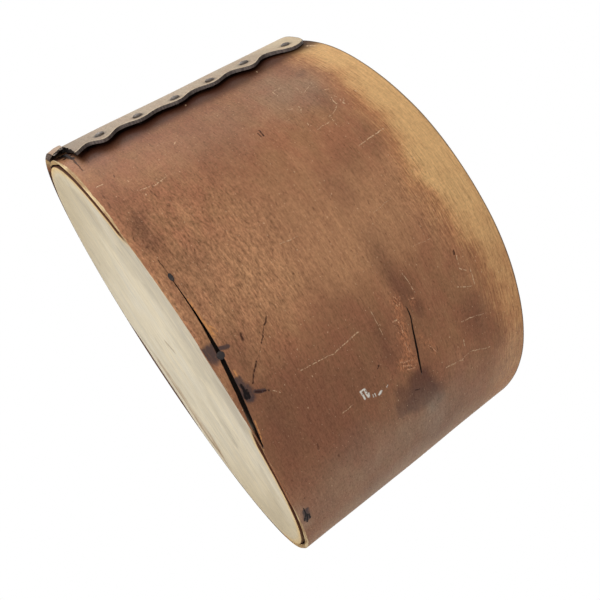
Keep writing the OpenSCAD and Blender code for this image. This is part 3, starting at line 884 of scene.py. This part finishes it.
def makeBaseBoard(materials):
    full, wear, thick = board["full"], board["wear"], board["thick"]
    outline = [(ring, 0.0) for ring in board["rings"]]
    outline += [(full - wear, 0.0), (full - wear * 0.3, wear * 0.3), (full, wear)]
    outline += [(full, thick - wear), (full - wear * 0.3, thick - wear * 0.3), (full - wear, thick)]
    outline += [(ring, thick) for ring in reversed(board["rings"])]
    bm = turnOutline(outline, board["steps"])
    bmesh.ops.recalc_face_normals(bm, faces=bm.faces)
    gapShade = bm.verts.layers.float.new("gapShade")
    rimHighlight = bm.verts.layers.float.new("rimHighlight")
    for vert in bm.verts:
        reach = math.hypot(vert.co.x, vert.co.y)
        angle = math.degrees(math.atan2(vert.co.y, vert.co.x))
        share = reach / full
        grow = boardReach(angle) / full
        under = vert.co.z < thick / 2
        loose = smoothStep(0.2, 0.6, between(board["gap"], angle))
        # painted shade on the board's side where the gap round it is wide
        vert[gapShade] = loose * smoothStep(full - wear, full - wear * 0.3, reach)
        # painted highlight along the board's worn near edge
        vert[rimHighlight] = loose * smoothStep(full - 3.5, full - wear, reach) * (1 - farSide(angle))
        chip = 0.18 * wobble(vert.co.x, vert.co.y, 9, 3.0) * smoothStep(0.95, 1.0, share)
        dish = board["hollow"] * (1 - share * share) + 0.10 * wobble(vert.co.x, vert.co.y, 30, 1.0)
        warp = between(board["warp"], angle) * smoothStep(0.55, 1.0, share)
        vert.co.x *= grow
        vert.co.y *= grow
        uneven = max(0.0, dish) + abs(chip) if under else 0.12 * wobble(vert.co.x, vert.co.y, 40, 6.0)
        vert.co.z += warp + uneven
    return finishPiece(bm, "baseBoard", materials, ["base_board"])


# Marks under the board, in millimetres along its grain and across it: both ends and the width,
# and for a smudge its strength
boardMarks = {
    "grainAngle": -123.7,
    "knot": (8.0, 24.8, 2.0, 33.0, 2.4),
    "smudges": [
        (-52, 36, -38, 41, 3.2, 0.4), (70, -44, 84, -45, 3.5, 0.4), (-18, 62, 10, 60, 5.0, 0.25),
        (-70, 20, -30, 16, 7.0, 0.25), (20, 84, 46, 74, 3.0, 0.35), (-86, 50, -60, 70, 4.0, 0.3),
        (-20, 56, -50, 34, 9.0, 0.28), (-100, -8, -86, 46, 9.0, 0.3), (72, 50, 44, 68, 9.0, 0.3),
        (22, -86, 8, -86, 8.0, 0.5), (-42, 98, -22, 97, 7.0, 0.35), (84, 52, 64, 66, 7.0, 0.35),
    ],
    "browned": (-8, -78, -58, -66, 20.0),
}


boardTones = {
    "body": colour(228, 215, 188), "cool": colour(222, 213, 194), "broad": colour(210, 199, 176),
    "cloud": colour(190, 180, 162), "ends": colour(192, 174, 140), "side": colour(178, 167, 150),
    "smudge": colour(150, 138, 120), "knot": colour(166, 142, 106), "browned": colour(150, 114, 76),
    "rim": colour(218, 184, 124), "pore": colour(150, 136, 114), "edge": colour(84, 48, 30),
    "upper": colour(172, 134, 94), "upperLight": colour(198, 162, 118), "upperEdge": colour(112, 80, 58),
    "joint": colour(24, 16, 13),
}


def makeBoardMaterial():
    material, pen = newMaterial("paleBoardWood")
    turned = pen.node("ShaderNodeMapping", {"vector_type": "TEXTURE"},
                      {"Vector": pen.objectSpot(), "Scale": (metres, metres, metres),
                       "Rotation": (0.0, 0.0, math.radians(boardMarks["grainAngle"]))})
    uneven = turned.shaken((40.0, 26.0, 0.0), 0.07, 4.0, 0.65)
    spread = turned.length()
    along, across, up = (turned.axis(index) for index in range(3))
    broad = turned.grain((60, 34, 30), 3, 0.5, 4.0)
    cloud = turned.grain((24, 12, 15), 4, 0.6, 14.0)
    wisp = turned.grain((14, 2.2, 6), 4, 0.6, 8.0)
    fine = turned.grain((3.6, 0.8, 3), 3, 0.65, 18.0)
    pores = turned.grain((3.2, 0.7, 3), 2, 0.6, 28.0).step(0.68, 0.80)

    def mark(spot, x, y, toX, toY, width):
        return spot.line((x, y, 0.0), (toX, toY, 0.0), width)

    tone = pen.mix(cloud.step(0.42, 0.66) * 0.7, boardTones["cool"], first=boardTones["body"])
    tone = tone.cover(boardTones, [
        (broad.step(0.54, 0.36) * 0.5, "broad"),
        (cloud.step(0.44, 0.30) * 0.4, "cloud"),
        (pen.maths("ABSOLUTE", along).step(35, 108) * 0.6, "ends"),
        (across.step(58, 108) * (0.2 + 0.6 * cloud), "side"),
    ])
    for *run, width, strength in boardMarks["smudges"]:
        smudge = mark(uneven, *run, width * 1.3)
        tone = tone.mix(smudge * strength * wisp.step(0.32, 0.64), boardTones["smudge"])
    tone = tone.cover(boardTones, [
        (mark(turned, *boardMarks["knot"]) * (0.3 + 0.6 * wisp), "knot"),
        (mark(uneven, *boardMarks["browned"]) * cloud.step(0.26, 0.72), "browned"),
        # painted highlight along the board's worn near edge
        (pen.attribute("rimHighlight") * (0.4 + 0.8 * cloud), "rim"),
    ])
    inside = up.step(0.8, 2.5)
    upper = pen.mix(broad.step(0.42, 0.62) * 0.7, boardTones["upperLight"], first=boardTones["upper"])
    tone = tone.mix(inside, upper.mix(spread.step(88, 111) * 0.6, boardTones["upperEdge"]))
    # near black round the top of the board against the wall: painted shade in the gap
    tone = tone.mix(inside * spread.step(111.0, 111.6) * 0.97, boardTones["joint"])
    tone = tone.shade(0.50 + 0.52 * wisp + 0.48 * fine)
    # painted shade on the board's side in the gap
    tone = tone.cover(boardTones, [(pores * 0.5, "pore"), (pen.attribute("gapShade"), "edge")])
    endMaterial(pen, {"Base Color": tone, "Roughness": 0.62 + 0.2 * cloud, "Specular IOR Level": 0.2},
                wisp * 0.4 + fine * 0.4 - pores * 0.5, 0.00018, 0.5)
    return material


baseBoard = makeBaseBoard([makeBoardMaterial()])
print("base board done:", len(baseBoard.data.polygons), "faces")


ironPits = colour(28, 24, 23)


def makeIronMaterial(name, dark, rust):
    material, pen = newMaterial(name)
    spot = pen.objectSpot()
    patch = spot.grain((0.0016, 0.0016, 0.0016), 4, 0.65, 3.0)
    pit = spot.grain((0.0005, 0.0005, 0.0005), 2, 0.5, 9.0)
    rusty = patch.step(0.45, 0.70)
    tone = pen.mix(rusty, rust, first=dark).mix(pit.step(0.62, 0.75) * 0.6, ironPits)
    endMaterial(pen, {"Base Color": tone, "Metallic": 0.75 - rusty * 0.6, "Roughness": 0.46 + 0.3 * patch},
                patch * 0.7 + pit * 0.4, 0.00018, 0.8)
    return material


# Sets a nail that is drawn head up along Z into the wall, with its head outwards at the seat
def driveIn(bm, seat):
    bmesh.ops.recalc_face_normals(bm, faces=bm.faces)
    outward = Vector((seat.x, seat.y, 0)).normalized()
    side = Vector((0, 0, 1)).cross(outward).normalized()
    turned = Matrix((side, outward.cross(side), outward)).transposed()
    bmesh.ops.transform(bm, verts=bm.verts, matrix=Matrix.Translation(seat) @ turned.to_4x4())


def tilted(degrees):
    return Matrix.Rotation(math.radians(degrees), 3, "X")


# Tacks along the lap: hammered heads, shanks through both layers, points bent over inside
tack = {
    "head": lap["tackHead"], "rise": 0.95, "shank": 1.5, "clinch": 3.6, "clinchThick": 1.2, "steps": 18,
    "dent": 0.26, "dentAbove": 0.2, "headAbove": -0.13,                     # heights on the tack
    "tilt": [5, -4, 3, -6, 4, -3],              # how far each head was driven askew, in degrees
    "iron": colour(88, 80, 74), "rust": colour(80, 64, 53),
}


def makeTack(index, material):
    height = tackHeights[index]
    half, rise, core = tack["head"] / 2, tack["rise"], tack["shank"] / 2
    clinch, bent = tack["clinch"], tack["clinchThick"]
    seat = stripPoint(tackTurn, height)
    inner = sideRadius(turnAt(lap["tackAngle"]), height) - strip["thick"]
    depth = math.hypot(seat.x, seat.y) - inner
    outline = [(0, rise), (half * 0.45, rise * 0.93), (half * 0.8, rise * 0.66), (half * 0.97, rise * 0.3)]
    outline += [(half, rise * 0.05), (half * 0.93, -0.12), (core, -0.14), (core, -depth - bent * 0.9)]
    outline += [(core * 0.6, -depth - bent * 1.15), (0, -depth - bent * 1.2)]
    bm = turnOutline(outline, tack["steps"])
    squash = 1 + 0.09 * wobble(index, 0.4, 1.7, 1.0)
    heads = [vert for vert in bm.verts if vert.co.z > tack["headAbove"]]
    for vert in heads:
        dent = tack["dent"] * wobble(vert.co.x + index * 9, vert.co.y, 1.5, 2.0)
        vert.co.x *= squash * (1 + 0.06 * wobble(vert.co.y, index, 1.6, 4.0))
        vert.co.y /= squash
        if vert.co.z > tack["dentAbove"]:
            vert.co.z += dent
    bmesh.ops.rotate(bm, verts=heads, cent=(0, 0, 0), matrix=tilted(tack["tilt"][index]))
    point = bmesh.ops.create_cone(bm, cap_ends=True, segments=10, radius1=bent / 2, radius2=bent / 5,
                                  depth=clinch)["verts"]
    bmesh.ops.rotate(bm, verts=point, cent=(0, 0, 0), matrix=tilted(90))
    bmesh.ops.translate(bm, verts=point, vec=(0, -clinch / 2 + core * 0.5, -depth - bent * 0.52))
    driveIn(bm, seat)
    return finishPiece(bm, "seamTack%d" % (index + 1), [material], [tackNodes[index]])


tackIron = makeIronMaterial("rustyTackIron", tack["iron"], tack["rust"])
seamTacks = [makeTack(index, tackIron) for index in range(len(tackNodes))]
print("seam tacks done:", len(seamTacks))


# Brads through the foot of the hoop into the board's edge
brad = {
    "count": 11, "head": 2.8, "headThick": 0.5, "shank": 1.2, "length": 17.0, "point": 3.0, "steps": 16,
    # how deep each head was driven, and how it was flattened and bent over along the split
    "sink": [1.0, 0.3, 0.3, 0.9, 1.0] + [0.3] * 6,
    "stretch": [(1, 1), (1.3, 0.6), (1.15, 1.1)] + [(1, 1)] * 8,
    "shift": [(0, 0), (0.1, 1.1), (0.1, 0.3), (0, 0.8)] + [(0, 0)] * 7,
    "iron": colour(52, 48, 48), "rust": colour(58, 46, 40),
}


def makeBrad(index, material):
    name = "base_brad_%d" % (index + 1)
    low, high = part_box(name)
    middle = (low + high) / 2 / metres
    seat = stripPoint(turnAt(math.degrees(math.atan2(middle.y, middle.x))), middle.z)
    half, core, length = brad["head"] / 2, brad["shank"] / 2, brad["length"]
    top = brad["headThick"] - brad["sink"][index]
    outline = [(0, top * 0.9), (half * 0.6, top), (half * 0.92, top * 0.75), (half, top - 0.2)]
    outline += [(half * 0.96, top - 0.5), (core, top - 0.55), (core, brad["point"] - length)]
    outline += [(core * 0.25, -length), (0, -length)]
    bm = turnOutline(outline, brad["steps"])
    stretch, shift = brad["stretch"][index], brad["shift"][index]
    for vert in bm.verts:
        if vert.co.z > top - 0.6:
            uneven = 1 + 0.08 * wobble(vert.co.y + index * 5, index, 1.3, 7.0)
            vert.co.x = vert.co.x * uneven * stretch[0] + shift[0]
            vert.co.y = vert.co.y * stretch[1] + shift[1]
            vert.co.z += 0.07 * wobble(vert.co.x + index * 7, vert.co.y, 0.9, 5.0)
    driveIn(bm, seat)
    return finishPiece(bm, "baseBrad%d" % (index + 1), [material], [name])


bradIron = makeIronMaterial("darkBradIron", brad["iron"], brad["rust"])
baseBrads = [makeBrad(index, bradIron) for index in range(brad["count"])]
print("base brads done:", len(baseBrads))


# Camera of the photo, in millimetres in the part's own frame
shot = {
    "place": (289.2, -185.8, -31.7), "lens": 38.70, "sensor": 36.0, "clip": (0.01, 60.0),
    "right": (0.51962, 0.30960, 0.79633), "up": (-0.33732, -0.78199, 0.52413),
    "forward": (-0.78499, 0.54097, 0.30190),
}


def makeCamera():
    data = bpy.data.cameras.new("photoCamera")
    data.lens = shot["lens"]
    data.sensor_width = shot["sensor"]
    data.clip_start, data.clip_end = shot["clip"]
    camera = bpy.data.objects.new("photoCamera", data)
    turn = Matrix((shot["right"], shot["up"], -Vector(shot["forward"]))).transposed()
    camera.matrix_world = Matrix.Translation(Vector(shot["place"]) * metres) @ turn.to_4x4()
    scene.collection.objects.link(camera)
    scene.camera = camera


# Floor, lamps and world: a plain pale floor under soft light
studio = {
    "floorSize": 6.0, "floorDrop": 0.0003, "floorTone": (0.86, 0.86, 0.85, 1.0), "ambient": 0.34,
    "fade": (0.3, 1.1),                         # where the floor melts into the white room
    "lamps": {                                  # where from, distance, size and strength
        "keyLamp": ((-0.31, -0.95, -0.05), 1.5, 0.7, 4.2),
        "leftLamp": ((-0.80, -0.60, 0.0), 1.5, 0.6, 9.0),
        "frontLamp": ((0.57, -0.63, -0.52), 1.5, 1.2, 10.2),
        "sideLamp": ((0.55, 0.80, 0.10), 1.6, 1.2, 3.6),
        "footLamp": ((0.15, -0.20, -1.0), 1.4, 1.2, 7.5),
        "topLamp": ((-0.1, 0.25, 1.0), 1.8, 1.6, 16.0),
        "backLamp": ((-0.75, 0.65, 0.35), 1.8, 1.4, 9.0),
    },
}


def makeStudio():
    bm = bmesh.new()
    bmesh.ops.create_grid(bm, x_segments=2, y_segments=2, size=studio["floorSize"] / 2)
    bmesh.ops.translate(bm, verts=bm.verts, vec=(0, 0, -studio["floorDrop"]))
    mesh = bpy.data.meshes.new("floor")
    bm.to_mesh(mesh)
    bm.free()
    material, pen = newMaterial("paleFloor")
    plain = pen.node("ShaderNodeBsdfDiffuse", None, {"Color": studio["floorTone"]})
    clear = pen.node("ShaderNodeBsdfTransparent")
    under = pen.node("ShaderNodeNewGeometry", None, None, out=6)
    faded = under.most(pen.objectSpot().length().step(*studio["fade"]))
    pen.node("ShaderNodeOutputMaterial", None,
             {"Surface": pen.node("ShaderNodeMixShader", None, {0: faded, 1: plain, 2: clear})})
    mesh.materials.append(material)
    floor = bpy.data.objects.new("floor", mesh)
    floor.visible_shadow = False                # light from under the floor still reaches the foot
    floor.visible_diffuse = False
    scene.collection.objects.link(floor)
    aim = Vector((0, 0, hoopHigh.z / 2 * metres))
    for name, (fromSide, distance, size, strength) in studio["lamps"].items():
        data = bpy.data.lights.new(name, "AREA")
        data.shape = "DISK"
        data.size = size
        data.energy = strength
        lamp = bpy.data.objects.new(name, data)
        toward = Vector(fromSide).normalized()
        lamp.location = aim + toward * distance
        lamp.rotation_mode = "QUATERNION"
        lamp.rotation_quaternion = toward.to_track_quat("Z", "Y")
        scene.collection.objects.link(lamp)
    world = bpy.data.worlds.new("whiteRoom")
    world.use_nodes = True
    world.node_tree.nodes.clear()
    pen = Wire(world.node_tree)
    seen, mirrored, through = (pen.node("ShaderNodeLightPath", None, None, out) for out in (0, 3, 6))
    white = seen.most(mirrored).most(through)
    strength = studio["ambient"] + white * (1.0 - studio["ambient"])
    back = pen.node("ShaderNodeBackground", None, {"Color": (1.0, 1.0, 1.0, 1.0), "Strength": strength})
    pen.node("ShaderNodeOutputWorld", None, {"Surface": back})
    scene.world = world


makeCamera()
makeStudio()
print("camera, floor and lamps done")
